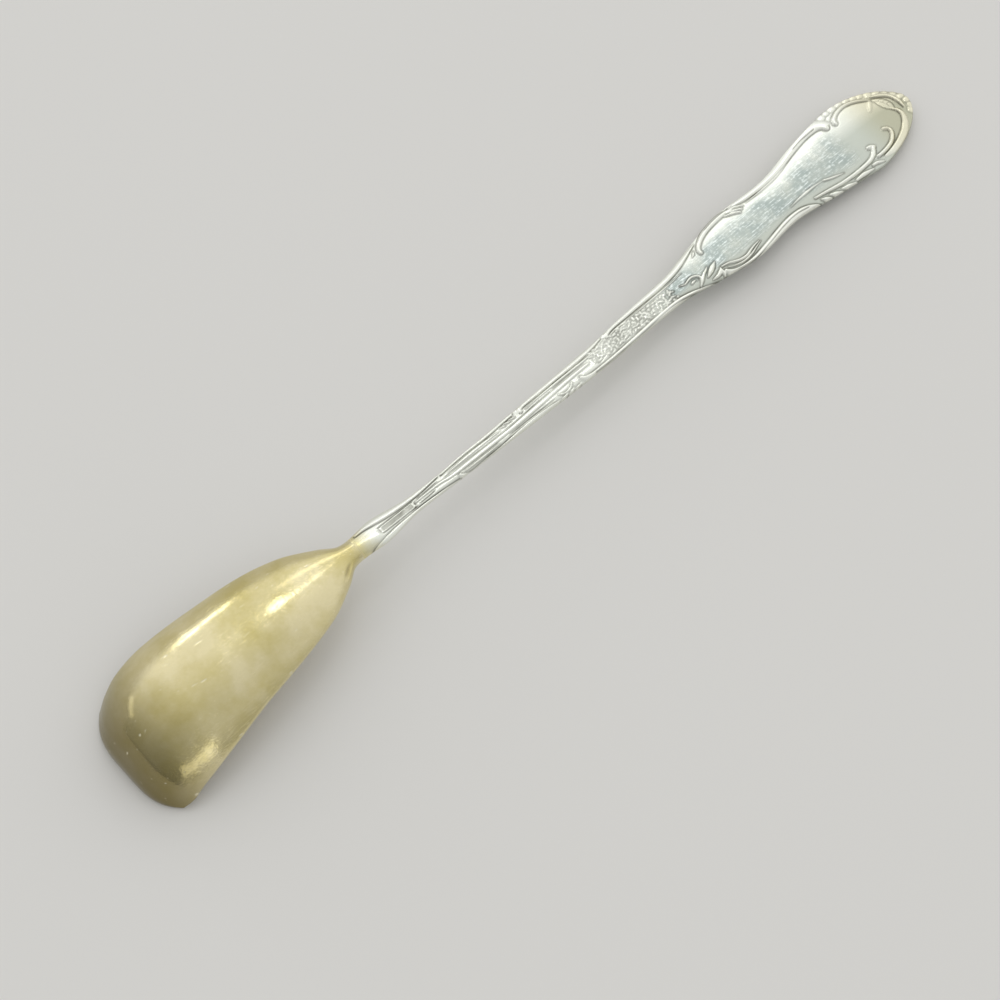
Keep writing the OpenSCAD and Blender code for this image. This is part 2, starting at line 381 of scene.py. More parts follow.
# Hair scratches are a few hundredths of a mm wide; they are drawn coarser here, so that they show.
# They lie three ways, each turned and moved so that the ways differ.
scratch_width = 0.09 * MM
scratch_length = 5.0 * MM
scratch_ways = ((0.5, 0.0), (-0.25, 0.03), (1.3, 0.07))
scratches = None
for turn, shift in scratch_ways:
    lay = add(tree, "ShaderNodeMapping", {
        "Vector": place, "Location": (shift, shift, 0), "Rotation": (0, 0, turn),
        "Scale": (1 / scratch_length, 1 / scratch_width, 1 / scratch_width)}).outputs["Vector"]
    hair = add(tree, "ShaderNodeTexNoise", {"Vector": lay, "Scale": 1.0, "Detail": 1.0}).outputs["Fac"]
    line = add(tree, "ShaderNodeMapRange", {
        "Value": hair, "From Min": 0.66, "From Max": 0.76}).outputs["Result"]
    scratches = line if scratches is None else add(tree, "ShaderNodeMath", {
        0: scratches, 1: line}, operation="MAXIMUM").outputs["Value"]
nick_length = 1.5 * MM
nick_width = 0.5 * MM
nick_turn = 0.9
nick_share = 0.6
lay = add(tree, "ShaderNodeMapping", {
    "Vector": place, "Rotation": (0, 0, nick_turn),
    "Scale": (1 / nick_length, 1 / nick_width, 1 / nick_width)}).outputs["Vector"]
dent = add(tree, "ShaderNodeTexNoise", {"Vector": lay, "Scale": 1.0, "Detail": 0.0}).outputs["Fac"]
nick = add(tree, "ShaderNodeMapRange", {
    "Value": dent, "From Min": 0.8, "From Max": 0.87}).outputs["Result"]
nicked = add(tree, "ShaderNodeMath", {0: nick, 1: nick_share}, operation="MULTIPLY").outputs["Value"]
colour = add(tree, "ShaderNodeMix", {
    "Factor": nicked, "A": colour, "B": bared_silver}, data_type="RGBA").outputs["Result"]
gilt_roughness = 0.06
patch_roughness = 0.14
scratch_roughness = 0.14
gloss = add(tree, "ShaderNodeMath", {
    0: patch, 1: patch_roughness, 2: gilt_roughness}, operation="MULTIPLY_ADD").outputs["Value"]
gloss = add(tree, "ShaderNodeMath", {
    0: scratches, 1: scratch_roughness, 2: gloss}, operation="MULTIPLY_ADD").outputs["Value"]
# The hammer's waves, the dapple between them and the pits: size, detail, and depth in mm.
bumps = ((4.5 * MM, 1.0, 0.06), (0.9 * MM, 1.0, 0.01), (0.28 * MM, 2.0, 0.01))
height = 0.0
for bump_size, bump_detail, bump_depth in bumps:
    bump = add(tree, "ShaderNodeTexNoise", {
        "Vector": place, "Scale": 1 / bump_size, "Detail": bump_detail}).outputs["Fac"]
    height = add(tree, "ShaderNodeMath", {
        0: bump, 1: bump_depth, 2: height}, operation="MULTIPLY_ADD").outputs["Value"]
scratch_depth = 0.004
nick_depth = 0.02
height = add(tree, "ShaderNodeMath", {
    0: scratches, 1: -scratch_depth, 2: height}, operation="MULTIPLY_ADD").outputs["Value"]
height = add(tree, "ShaderNodeMath", {
    0: nick, 1: -nick_depth, 2: height}, operation="MULTIPLY_ADD").outputs["Value"]
normal = add(tree, "ShaderNodeBump", {
    "Strength": 1.0, "Distance": MM, "Height": height}).outputs["Normal"]
shader = add(tree, "ShaderNodeBsdfPrincipled", {
    "Base Color": colour, "Metallic": 1.0, "Roughness": gloss, "Normal": normal}).outputs["BSDF"]
add(tree, "ShaderNodeOutputMaterial", {"Surface": shader})
bowl.data.materials.append(gilt)
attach(bowl, "root")
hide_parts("bowl")


# Solder seam: the thin line of silver solder that joins bowl and handle.
# It was run in between their ends, and then filed down until it stood only a hair proud.
seam_low, seam_high = [Vector(corner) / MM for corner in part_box("solder_seam")]
seam_proud = 0.001
seam_rows = 8
seam_columns = 96
bm, along, around = ring_grid(seam_rows, seam_columns)
outside = around < 0.5
across = np.sin(np.pi / 2 * np.where(outside, 4 * around - 1, 3 - 4 * around))
outer, inner, half = bowl_skins(np.full(len(along), bowl_length), across)
points = rounded(outer, inner, (1 - np.abs(across)) * half, outside, joint_round)
middle = np.array([0, through(sway_line, bowl_length), rim_rise])
points = middle + (points - middle) * (1 + seam_proud * np.sin(np.pi * along))[:, None]
points[:, 0] = seam_low.x + along * (seam_high.x - seam_low.x)
seam = wrapped(bm, "solder_seam_filed", points)

# Silver solder, filed: a little duller and yellower than the silver handle beside it.
deep_solder = linear("#DDD19A")
pale_solder = linear("#E8DFB4")
speck_size = 0.5 * MM
solder_roughness = 0.22
speck_roughness = 0.2
solder = bpy.data.materials.new("silver_solder_filed")
solder.use_nodes = True
tree = solder.node_tree
tree.nodes.clear()
place = add(tree, "ShaderNodeTexCoord").outputs["Object"]
speck = add(tree, "ShaderNodeTexNoise", {
    "Vector": place, "Scale": 1 / speck_size, "Detail": 3.0}).outputs["Fac"]
colour = add(tree, "ShaderNodeMix", {
    "Factor": speck, "A": deep_solder, "B": pale_solder}, data_type="RGBA").outputs["Result"]
gloss = add(tree, "ShaderNodeMath", {
    0: speck, 1: speck_roughness, 2: solder_roughness}, operation="MULTIPLY_ADD").outputs["Value"]
shader = add(tree, "ShaderNodeBsdfPrincipled", {
    "Base Color": colour, "Metallic": 1.0, "Roughness": gloss}).outputs["BSDF"]
add(tree, "ShaderNodeOutputMaterial", {"Surface": shader})
seam.data.materials.append(solder)
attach(seam, "root")
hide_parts("solder_seam")


# Handle: one bar of sterling silver, struck between dies and soldered to the bowl's neck.
# Its back carries raised borders that break into overlapping ribs, C-scrolls, leaves and soft knobs.
shoulder_width = 4.3
stem_width = 2.6
upper_stem_width = 4.8
swell_width = 9.6
waist_width = 8.5
terminal_width = handle_high.y - handle_low.y
terminal_nose = 12.5
nose_power = 1.85
nose_share = 0.997
nose_start = spoon_length - terminal_nose
edge_thickness = 1.1
front_crown = 0.6
panel_crown = 0.55
stem_height = 5.2
stem_front = 1.65
stem_power = 3.2
stem_flat = 0.4
end_rise = 0.2

handle_outline = [
    (handle_start, 0.5 * neck_width), (handle_at(0.004), 0.504 * neck_width),
    (handle_at(0.028), 0.5 * shoulder_width),
    (handle_at(0.095), 0.5 * stem_width), (handle_at(0.24), 0.63 * stem_width),
    (handle_at(0.42), 0.44 * upper_stem_width), (handle_at(0.535), 0.5 * upper_stem_width),
    (handle_at(0.6), 0.38 * swell_width), (handle_at(0.665), 0.5 * swell_width),
    (handle_at(0.735), 0.5 * waist_width), (handle_at(0.815), 0.42 * terminal_width),
    (nose_start, 0.5 * terminal_width),
]
edge_line = [
    (handle_start, rim_rise), (handle_at(0.28), stem_height), (handle_at(0.55), 0.72 * stem_height),
    (handle_at(0.78), 0.54 * stem_height), (handle_at(0.95), edge_thickness + front_crown),
    (spoon_length, end_rise + edge_thickness),
]
back_line = [
    (handle_start, neck_back), (handle_at(0.05), 0.68 * neck_back), (handle_at(0.14), 0.5 * neck_back),
    (handle_at(0.42), 0.47 * neck_back), (handle_at(0.66), 1.3 * panel_crown),
    (handle_at(0.88), panel_crown), (spoon_length, 0.6 * panel_crown),
]
back_power_line = [
    (handle_start, arch_power), (handle_at(0.05), stem_power), (handle_at(0.5), stem_power),
    (handle_at(0.7), arch_power), (spoon_length, arch_power),
]
flat_line = [
    (handle_start, 0), (handle_at(0.05), stem_flat), (handle_at(0.5), stem_flat), (handle_at(0.7), 0),
    (spoon_length, 0),
]
front_line = [
    (handle_start, rim_rise - neck_front), (handle_at(0.28), stem_height - stem_front),
    (handle_at(0.55), 0.72 * stem_height - stem_front),
    (handle_at(0.78), 0.54 * stem_height - stem_front),
    (handle_at(0.95), 0), (spoon_length, end_rise),
]
thickness_line = [
    (handle_start, 0), (handle_at(0.07), 0.45 * edge_thickness), (handle_at(0.5), 0.7 * edge_thickness),
    (handle_at(0.88), edge_thickness), (spoon_length, 0.8 * edge_thickness),
]


def handle_half(run):
    """Half the handle's width at a run."""
    share = np.clip((run - nose_start) / terminal_nose, 0, 1)
    nose = terminal_width / 2 * (1 - (nose_share * share) ** nose_power) ** (1 / nose_power)
    return np.where(run > nose_start, nose, through(handle_outline, run))


# The ornament is drawn as strokes: the points of a line as (run, place across), its widths from
# start to end, and its height. Border ribs fill the edge outside their line; +y is the far edge.
far_borders = [
    ([(42.6, 1.42), (44, 1.38), (46, 1.1), (48, 0.8), (50, 0.66), (52, 0.6), (54, 0.62), (56.7, 0.74)],
     (0.5, 0.8, 0.72, 0.7, 0.35), 0.2),
    ([(57.4, 0.6), (59, 0.74), (61, 0.86), (63, 0.86), (65, 0.76), (67, 0.76), (69, 0.84), (70.9, 0.88)],
     (0.35, 0.55, 0.55, 0.55, 0.5), 0.18),
    ([(72.2, 0.25), (72.35, 0.62), (73.1, 0.82), (75, 0.86), (78, 0.88), (82, 0.86), (85, 0.9),
      (87, 1.06), (88.6, 1.3)], (0.5, 0.65, 0.65, 0.65, 0.35), 0.2),
    ([(89.5, 0.8), (90.1, 1.2), (91.5, 1.45), (94, 1.52), (97, 1.57), (100, 1.58), (103, 1.76),
      (105, 2.06), (107, 2.55), (109, 3.12), (110, 3.42)], (0.5, 0.75, 0.8, 0.85, 0.75, 0.2), 0.24),
    ([(118.3, 4.5), (120.2, 4.15), (122, 3.98), (124, 3.92), (126, 3.95), (128, 4.1), (130, 4.45),
      (132, 4.92), (134, 5.38), (136, 5.75), (137.6, 5.85), (138.9, 5.65), (139.7, 5.15), (140.0, 4.6)],
     (0.4, 0.9, 1.0, 1.05, 1.1, 1.2, 1.4, 1.6, 1.35), 0.32),
]
near_borders = [
    ([(43.3, -2.12), (45, -1.92), (48, -1.62), (52, -1.48), (56, -1.64), (58.9, -1.88)],
     (0.7, 0.8, 0.7, 0.65, 0.6), 0.2),
    ([(59.4, -1.2), (59.9, -1.62), (60.8, -1.92), (63, -2.0), (67, -1.98), (70, -1.85), (73, -1.8),
      (76, -1.9), (77.4, -2.05)], (0.4, 0.6, 0.55, 0.5, 0.25), 0.18),
    ([(82.3, -1.4), (82.8, -1.85), (83.8, -2.12), (86, -2.22), (90, -2.22), (94, -2.1), (97, -1.96),
      (100, -1.92), (102, -2.05), (104, -2.45), (106, -2.95), (108, -3.5), (109.2, -3.85)],
     (0.5, 0.75, 0.95, 0.95, 0.95, 0.3), 0.22),
    ([(110.4, -2.85), (111, -3.42), (112, -3.92), (113.5, -4.25), (115.5, -4.32), (118, -4.02),
      (120.8, -3.56), (123, -3.24), (125, -3.16), (127, -3.4), (128.3, -3.85), (129.3, -4.5)],
     (0.5, 0.9, 1.1, 1.1, 1.1, 1.0, 0.3), 0.26),
]
end_borders = [
    ([(149.7, 3.85), (150.8, 3.2), (151.5, 2.6), (151.95, 1.9), (152.15, 1.1), (152.2, 0.3),
      (152.1, -0.6)], (0.35, 0.6, 0.62, 0.6, 0.55, 0.3), 0.22),
    ([(150.2, 0.4), (150.75, -0.5), (150.8, -1.4), (150.25, -2.35), (149.2, -3.25), (147.9, -3.92),
      (146.4, -4.45), (144.7, -4.82), (143.1, -4.9)],
     (0.25, 0.55, 0.75, 0.8, 0.8, 0.75, 0.65, 0.3), 0.24),
]
scrolls = [
    ([(109.65, 1.62), (109.78, 2.1), (110.3, 2.72), (111.5, 3.42), (113, 3.92), (115, 4.2), (117, 4.25),
      (118.4, 3.95)], (0.75, 0.8, 0.9, 0.95, 0.95, 0.7), 0.26),
    ([(129.3, -3.1), (131.5, -3.46), (134, -3.9), (136.5, -4.12), (139, -4.14), (140.6, -4.0),
      (141.7, -3.6), (142.3, -3.05), (142.5, -2.6)], (0.4, 0.6, 0.64, 0.7, 0.9), 0.28),
    ([(141.6, 4.1), (141.85, 4.6), (142.5, 5.05), (143.5, 5.42), (144.8, 5.58), (146, 5.4), (147.3, 4.85),
      (148.4, 4.1), (148.9, 3.65)], (0.95, 0.75, 0.7, 0.66, 0.6, 0.35), 0.28),
    ([(142.1, -4.28), (143.5, -4.24), (145, -4.0), (146.1, -3.55), (146.8, -2.95), (147.1, -2.3),
      (146.95, -1.75), (146.45, -1.45)], (0.6, 0.64, 0.68, 0.72, 0.66), 0.28),
    ([(110.3, -2.05), (111.5, -2.3), (112.5, -2.75), (113.4, -3.05), (114.5, -3.15), (115.5, -2.92),
      (116.5, -2.72), (117.6, -2.6)], (0.3, 0.45, 0.45, 0.15), 0.18),
    ([(111, -2.7), (112, -3.15), (113.5, -3.5), (115, -3.46), (116.5, -3.1), (117.8, -2.78)],
     (0.2, 0.34, 0.34, 0.12), 0.13),
    ([(103.3, -0.3), (104.1, -0.62), (105.0, -0.42), (105.7, -0.42), (106.35, -0.75), (106.65, -1.3),
      (106.3, -1.85), (105.7, -2.35)], (0.15, 0.35, 0.42, 0.48, 0.3), 0.18),
]
leaves = [
    ([(116.9, 3.72), (118.1, 3.25), (119.1, 2.62)], (0.3, 0.52, 0.4), 0.24),
    ([(117.5, 3.95), (118.7, 3.42), (119.65, 2.88)], (0.3, 0.5, 0.4), 0.27),
    ([(118.2, 4.2), (119.4, 3.72), (120.25, 3.22)], (0.3, 0.5, 0.35), 0.25),
    ([(104.95, -1.2), (105.3, -1.12), (105.65, -1.1)], (0.35, 0.5, 0.3), 0.14),
    ([(105.8, -2.3), (106.6, -1.78), (107.3, -1.26), (108.1, -0.92), (108.6, -0.62)],
     (0.25, 0.48, 0.5, 0.45, 0.15), 0.22),
    ([(107.6, -1.95), (108.6, -1.5), (109.35, -1.14), (110.05, -0.8)], (0.35, 0.8, 0.85, 0.2), 0.28),
    ([(107.9, -2.72), (108.9, -2.72), (109.6, -2.45), (110.0, -2.1)], (0.25, 0.55, 0.75, 0.3), 0.24),
    ([(109.85, -2.4), (109.85, -2.9), (109.75, -3.35)], (0.6, 0.62, 0.4), 0.22),
    ([(108.2, 1.9), (108.7, 2.18), (109.1, 2.6)], (0.15, 0.42, 0.2), 0.15),
    ([(141.9, -2.36), (142.35, -2.42), (142.8, -2.68)], (0.7, 0.86, 0.76), 0.28),
    ([(149.35, 3.3), (149.9, 2.5), (150.25, 1.6), (150.5, 0.7), (150.6, -0.1)],
     (0.5, 1.4, 1.75, 1.5, 0.4), 0.06),
    ([(132.5, -1.85), (133.6, -2.28), (134.8, -2.65), (135.9, -2.95)], (0.4, 0.42, 0.1), 0.13),
    ([(129.95, -3.85), (130.6, -4.32), (131.3, -4.78)], (0.4, 0.95, 0.6), 0.2),
    ([(131.55, -4.15), (132.5, -4.7), (133.3, -5.1)], (0.45, 1.0, 0.7), 0.2),
    ([(133.7, -4.6), (134.9, -4.98), (136.1, -5.35)], (0.45, 0.9, 0.6), 0.2),
    ([(136.5, -4.98), (138.1, -5.02), (139.95, -5.32)], (0.5, 0.78, 0.35), 0.22),
    ([(140.35, -4.85), (141.2, -4.95), (142.3, -5.45)], (0.5, 0.65, 0.2), 0.22),
    ([(68.2, 0.42), (68.7, 0.2), (69.1, 0.1)], (0.25, 0.35, 0.2), 0.1),
    ([(69.2, 0.45), (69.7, 0.25), (70.1, 0.15)], (0.25, 0.35, 0.2), 0.1),
    ([(70.2, 0.45), (70.6, 0.3), (71.0, 0.22)], (0.25, 0.35, 0.2), 0.1),
    ([(78.1, -1.3), (78.6, -1.66), (79.4, -1.78), (80.2, -1.55), (80.6, -1.2)], (0.25, 0.4, 0.3), 0.12),
    ([(77.7, -2.25), (78.5, -2.15), (79.1, -2.0)], (0.3, 0.55, 0.3), 0.14),
    ([(79.3, -2.3), (79.9, -2.15), (80.4, -1.95)], (0.3, 0.55, 0.3), 0.14),
    ([(80.4, -2.35), (80.9, -2.25), (81.5, -2.1)], (0.3, 0.55, 0.3), 0.14),
]
reeds = [
    ([(73, 0.15), (75, 0.28), (78, 0.3), (82, 0.28), (85, 0.25), (87.5, 0.42), (89, 0.72)],
     (0.2, 0.4, 0.4, 0.2), 0.08),
    ([(94, 0.85), (97, 0.86), (100, 0.9), (103, 0.96), (105, 1.12)], (0.15, 0.36, 0.15), 0.09),
    ([(121, 3.3), (123, 3.24), (125, 3.26), (127, 3.36), (129, 3.64), (130.6, 4.0)],
     (0.15, 0.34, 0.34, 0.12), 0.1),
    ([(60.4, -1.32), (64, -1.36), (66.6, -1.4)], (0.2, 0.4, 0.2), 0.08),
    ([(68.6, -1.52), (73, -1.55), (77, -1.68)], (0.2, 0.4, 0.2), 0.08),
    ([(52, -0.3), (56, -0.3), (58.4, -0.6), (62, -0.66), (66, -0.7), (70, -0.74), (75, -0.66), (80, -0.52),
      (84.5, -0.5)], (0.3, 0.6, 0.75, 0.75, 0.5), 0.09),
    ([(58.5, 0.1), (62, 0.2), (66, 0.12), (68, 0.0)], (0.2, 0.5, 0.5, 0.2), 0.08),
    ([(125.4, -1.78), (127.5, -1.62), (130, -1.6), (132.4, -1.8)], (0.2, 0.55, 0.2), 0.08),
]
soft_leaves = [
    ([(149.0, 3.65), (148.5, 3.2), (147.9, 2.6), (147.4, 2.1)], (0.6, 0.75, 0.7, 0.4), 0.07),
]
# Cut lines between the reeds of the stem, along the double borders and in a small leaf.
cuts = [
    [(52.6, -0.82), (54.2, -0.8), (55.2, -0.72)],
    [(52.6, 0.05), (54.5, 0.02), (56.2, 0.1)],
    [(57.6, -0.1), (60, -0.15), (63, -0.26), (66, -0.4), (69, -0.47), (71, -0.4), (74, -0.22),
     (77.5, -0.15)],
    [(60.3, -1.04), (64, -1.06), (66.6, -1.12)],
    [(69, -1.3), (72, -1.32), (77, -1.45)],
    [(62.7, -1.64), (64.5, -1.68), (66.5, -1.7)],
    [(78, -0.06), (81, 0.02), (84, -0.06)],
    [(84.5, -2.28), (88, -2.35), (94, -2.2), (100, -2.0), (103, -2.3), (106, -3.02), (108.4, -3.66)],
    [(112, -4.02), (114, -4.36), (116, -4.36), (119, -3.92), (122, -3.42), (125, -3.22), (127.4, -3.56)],
    [(113, 4.12), (115, 4.4), (117, 4.48), (119, 4.4)],
    [(133.3, 5.1), (135.5, 5.42), (138.3, 5.5)],
    [(105.8, -1.5), (106.15, -1.35), (106.25, -1.05)],
]
# Veins of the leaf at the end.
veins = [
    [(149.4, 2.9), (149.9, 2.4), (150.3, 1.5), (150.45, 0.6)],
    [(149.75, 2.55), (150.3, 2.65), (150.7, 2.5)],
    [(150.05, 1.95), (150.6, 2.05), (151.0, 1.85)],
    [(150.3, 1.3), (150.8, 1.4), (151.2, 1.2)],
]
# An empty stadium near the neck: a cut line, a bright rim inside it and a floor that is sunk a little.
stadium_middle = (48.7, -0.38)
stadium_length = 6.2
stadium_height = 1.1
stadium_rim = 0.2
stadium_depth = 0.05
stadium_fade = 0.1
stadium_dark = 0.85
stadium_arm = (stadium_length - stadium_height) / 2
stadium_steps = 33
middle_run, middle_y = stadium_middle
stadium_axis = [(middle_run - stadium_arm, middle_y), (middle_run + stadium_arm, middle_y)]
stadium = []
for angle in np.linspace(0, 2 * math.pi, stadium_steps):
    end_shift = math.copysign(stadium_arm, math.cos(angle))
    stadium.append((middle_run + end_shift + stadium_height / 2 * math.cos(angle),
                    middle_y + stadium_height / 2 * math.sin(angle)))
# Cut lines with their width, depth and how dark they are made: partly tarnished, partly painted shade.
cut_kinds = [(cuts, 0.2, 0.07, 0.75), (veins, 0.15, 0.025, 0.45), ([stadium], 0.2, 0.09, 1.0)]

# Matting: the ground of the upper stem is rough with short raised grains that lie every way.
matting_start = 85.5
matting_end = 102.0
matting_pitch = 0.78
matting_stagger = 0.3
matting_rows = (-1.1, -0.5, 0.1, 0.6)
matting_lean = 0.02
matting_height = 0.09
mark_shift_along = 0.2
mark_shift_across = 0.16
mark_arms = (0.05, 0.26)
mark_start_widths = (0.3, 0.5)
mark_end_widths = (0.4, 0.6)
chance = np.random.default_rng(5)
matting = []
for k, matting_y in enumerate(matting_rows):
    row_start = matting_start + matting_stagger * (k % 2)
    for matting_run in np.arange(row_start, matting_end, matting_pitch):
        mark_run = matting_run + chance.uniform(-mark_shift_along, mark_shift_along)
        mark_y = matting_y + chance.uniform(-mark_shift_across, mark_shift_across)
        mark_y -= matting_lean * (matting_run - matting_start)
        lie = chance.uniform(0, math.pi)
        arm = chance.uniform(*mark_arms)
        mark = [(mark_run - arm * math.cos(lie), mark_y - arm * math.sin(lie)),
                (mark_run + arm * math.cos(lie), mark_y + arm * math.sin(lie))]
        mark_widths = (chance.uniform(*mark_start_widths), chance.uniform(*mark_end_widths))
        matting.append((mark, mark_widths, matting_height))

# Soft knobs along the edge of the terminal, from the far border's bulb round the end.
knob_places = [
    (140.9, 6.35), (142.1, 6.45), (143.4, 6.5), (144.9, 6.42), (146.3, 6.15), (147.5, 5.75),
    (148.5, 5.3), (149.65, 4.68), (150.8, 3.95), (151.8, 3.1), (152.65, 2.15), (153.25, 1.1),
    (153.45, 0.0), (153.3, -1.0), (152.8, -1.75),
]
knob_width = 1.25
knob_arm = 0.12
knob_height = 0.11
knob_range = (0.85, 1.15)
knobs = []
for knob_run, knob_y in knob_places:
    dot = [(knob_run - knob_arm, knob_y), (knob_run + knob_arm, knob_y)]
    this_width = knob_width * chance.uniform(*knob_range)
    knobs.append((dot, (this_width, this_width), knob_height))

rib_profile = 0.75
border_spread = 0.5
foot_depth = 0.05
foot_width = 0.15
clean_height = 0.18
relief_scale = 1.35
stroke_reach = 0.6
# Each kind of stroke, how fast it falls towards the outline, and how dark its feet get.
stroke_kinds = [
    (far_borders + near_borders + end_borders, border_spread, 0.9),
    (scrolls, 1, 0.8),
    (leaves, 1, 0.7),
    (reeds, 1, 0.5),
    (soft_leaves, 1, 0.2),
    (matting, 1, 0.7),
    (knobs, 1, 0.4),
]


def struck(spots, outward):
    """Height of the struck relief at each spot, and how dark its feet and cuts are made: partly tarnished,
    partly painted shade.

    outward is each spot's way to the nearest edge, towards which a border rib falls slower.
    """
    relief = np.zeros(len(spots))
    recess = np.zeros(len(spots))
    for strokes, spread, darkness in stroke_kinds:
        for points, widths, height in strokes:
            widest = max(widths)
            pick, gap, share, step = nearest(points, spots, widest + stroke_reach)
            radius = np.interp(share, np.linspace(0, 1, len(widths)), widths) / 2
            beyond = (step * outward[pick]).sum(axis=1) > 0
            reach = np.where(beyond, spread, 1) * gap / radius
            swell = np.cos(np.pi / 2 * np.clip(reach, 0, 1)) ** rib_profile
            raised = relief_scale * height * np.sqrt(2 * radius / widest) * swell
            relief[pick] = np.maximum(relief[pick], raised)
            foot = darkness * np.exp(-((reach - 1) * radius / foot_width) ** 2)
            foot *= np.where((spread < 1) & beyond, 0, 1)
            recess[pick] = np.maximum(recess[pick], foot)
    recess *= np.clip(1 - relief / clean_height, 0, 1)
    relief -= foot_depth * recess
    pick, gap, _, _ = nearest(stadium_axis, spots, stadium_height)
    sunk = np.clip((stadium_height / 2 - stadium_rim - gap) / stadium_fade, 0, 1)
    relief[pick] -= stadium_depth * sunk
    recess[pick] = np.maximum(recess[pick], stadium_dark * sunk)
    for lines, width, depth, darkness in cut_kinds:
        for points in lines:
            pick, gap, _, _ = nearest(points, spots, stroke_reach)
            line = np.exp(-(2 * gap / width) ** 2)
            relief[pick] -= depth * line
            recess[pick] = np.maximum(recess[pick], darkness * line)
    return relief, recess


handle_rows = 560
handle_columns = 176
back_columns_share = 0.8
panel_start = 103.0
stem_rows_share = 0.44
body_rows_share = 0.86
front_draft = 0.3
edge_round_share = 0.3
edge_round_most = 0.3
groove_place = 0.76
groove_width = 0.08
groove_depth = 0.1
groove_dark = 0.45
bm, along, around = ring_grid(handle_rows, handle_columns)
outside = around < back_columns_share
across = np.where(
    outside,
    2 * around / back_columns_share - 1,
    1 - 2 * (around - back_columns_share) / (1 - back_columns_share),
)
across = 0.5 * across + 0.5 * np.sin(np.pi / 2 * across)
row_shares = (0, stem_rows_share, body_rows_share)
body_run = np.interp(along, row_shares, (handle_start, panel_start, nose_start))
nose_turn = np.clip((along - body_rows_share) / (1 - body_rows_share), 0, 1) * np.pi / 2
run = np.where(along < body_rows_share, body_run, nose_start + terminal_nose * np.sin(nose_turn))
half = handle_half(run)
lean = through(sway_line, run)
y = across * half
nose_along = np.clip((run - nose_start) / terminal_nose, 0, 1)
nose_reach = nose_along ** (nose_power - 1) / terminal_nose
side_reach = np.sign(y) * (2 * np.abs(y) / terminal_width) ** (nose_power - 1) / (terminal_width / 2)
outward = np.stack([nose_reach, side_reach], axis=1)
relief, recess = struck(np.stack([run, lean + y], axis=1), outward)
edge_z = through(edge_line, run)
thickness = through(thickness_line, run)
floor_z = edge_z - thickness
flat = through(flat_line, run)
vault = flat + (1 - flat) * arch(across, through(back_power_line, run))
back_z = edge_z + through(back_line, run) * vault + relief
# The front is plain, with one shallow groove along both edges.
groove = np.exp(-((np.abs(across) - groove_place) / groove_width) ** 2) * np.clip(thickness, 0, 1)
groove *= 1 - nose_along ** 2
front_z = floor_z - (floor_z - through(front_line, run)) * arch(across) + groove_depth * groove
outer = np.stack([run, lean + y, back_z], axis=-1)
drawn_in = np.minimum(neck_edge / half, front_draft)
inner = np.stack([run, lean + y * (1 - drawn_in), front_z], axis=-1)
edge_round = np.clip(edge_round_share * thickness, joint_round, edge_round_most)
inset = np.minimum((1 - np.abs(across)) * half, spoon_length - run)
points = rounded(outer, inner, inset, outside, edge_round)
points[:, 0] += tip_x
# The worn patch on the panel: its scratches are real, and it is also painted darker as shade.
panel_patch_start = 99.0
panel_patch_end = 141.0
panel_patch_fade = 3.0
panel_patch_across = 0.62
panel_patch_across_fade = 0.25
rubbed_height = 0.1
panel_wear = np.clip(np.minimum(run - panel_patch_start, panel_patch_end - run) / panel_patch_fade, 0, 1)
panel_wear *= np.clip((panel_patch_across - np.abs(across)) / panel_patch_across_fade, 0, 1)
ground = np.where(outside, 1 - np.clip(relief / rubbed_height, 0, 1), 1)
recess = np.where(outside, recess, groove_dark * groove)
panel_wear *= ground
stem_bloom = 0.3
far_lit_bloom = 0.3
# Bloom thins towards the far edge, leaving it bright: a painted highlight on the far side.
far_lit_across = (0.05, 0.4)
bloom = ground * np.interp(run, (panel_patch_start - panel_patch_fade, panel_patch_start + panel_patch_fade), (stem_bloom, 1))
bloom *= np.interp(across, far_lit_across, (1, far_lit_bloom))
tagged(bm, recess=recess, panel_wear=panel_wear, bloom=bloom)
handle = wrapped(bm, "handle_struck", points)

# Sterling silver, struck and polished: bright, with the faint green-white cast of worn silver. Ribs are
# polished white by use, the ground has a grey bloom that thins at the far edge as a painted highlight,
# the panel is clouded by fine scratches and painted darker grey-blue as shade, with painted glints,
# the feet of the ribs are darkened partly by tarnished silver and partly as painted shade, the end is
# mellow, and gold tints the neck.
shade_silver = linear("#ECEEE2")
white_silver = linear("#FAFBF2")
bloom_silver = linear("#C4C9BE")
haze_and_shade_silver = linear("#A4AFAB")
painted_glint_silver = linear("#EAF1EE")
mellow_silver = linear("#F0E9D6")
gold_tint = linear("#E0D498")
tarnish_and_shade_brown = linear("#504C40")
bloom_share = 0.9
haze_and_shade_share = 0.9
mellow_share = 0.9
gold_share = 0.95
cloud_size = 4 * MM
speck_size = 0.45 * MM
sterling = bpy.data.materials.new("sterling_silver_struck")
sterling.use_nodes = True
tree = sterling.node_tree
tree.nodes.clear()
place = add(tree, "ShaderNodeTexCoord").outputs["Object"]
lengthwise = add(tree, "ShaderNodeSeparateXYZ", {"Vector": place}).outputs["X"]
cloud = add(tree, "ShaderNodeTexNoise", {
    "Vector": place, "Scale": 1 / cloud_size, "Detail": 4.0, "Roughness": 0.6}).outputs["Fac"]
speck = add(tree, "ShaderNodeTexNoise", {
    "Vector": place, "Scale": 1 / speck_size, "Detail": 5.0, "Roughness": 0.7}).outputs["Fac"]
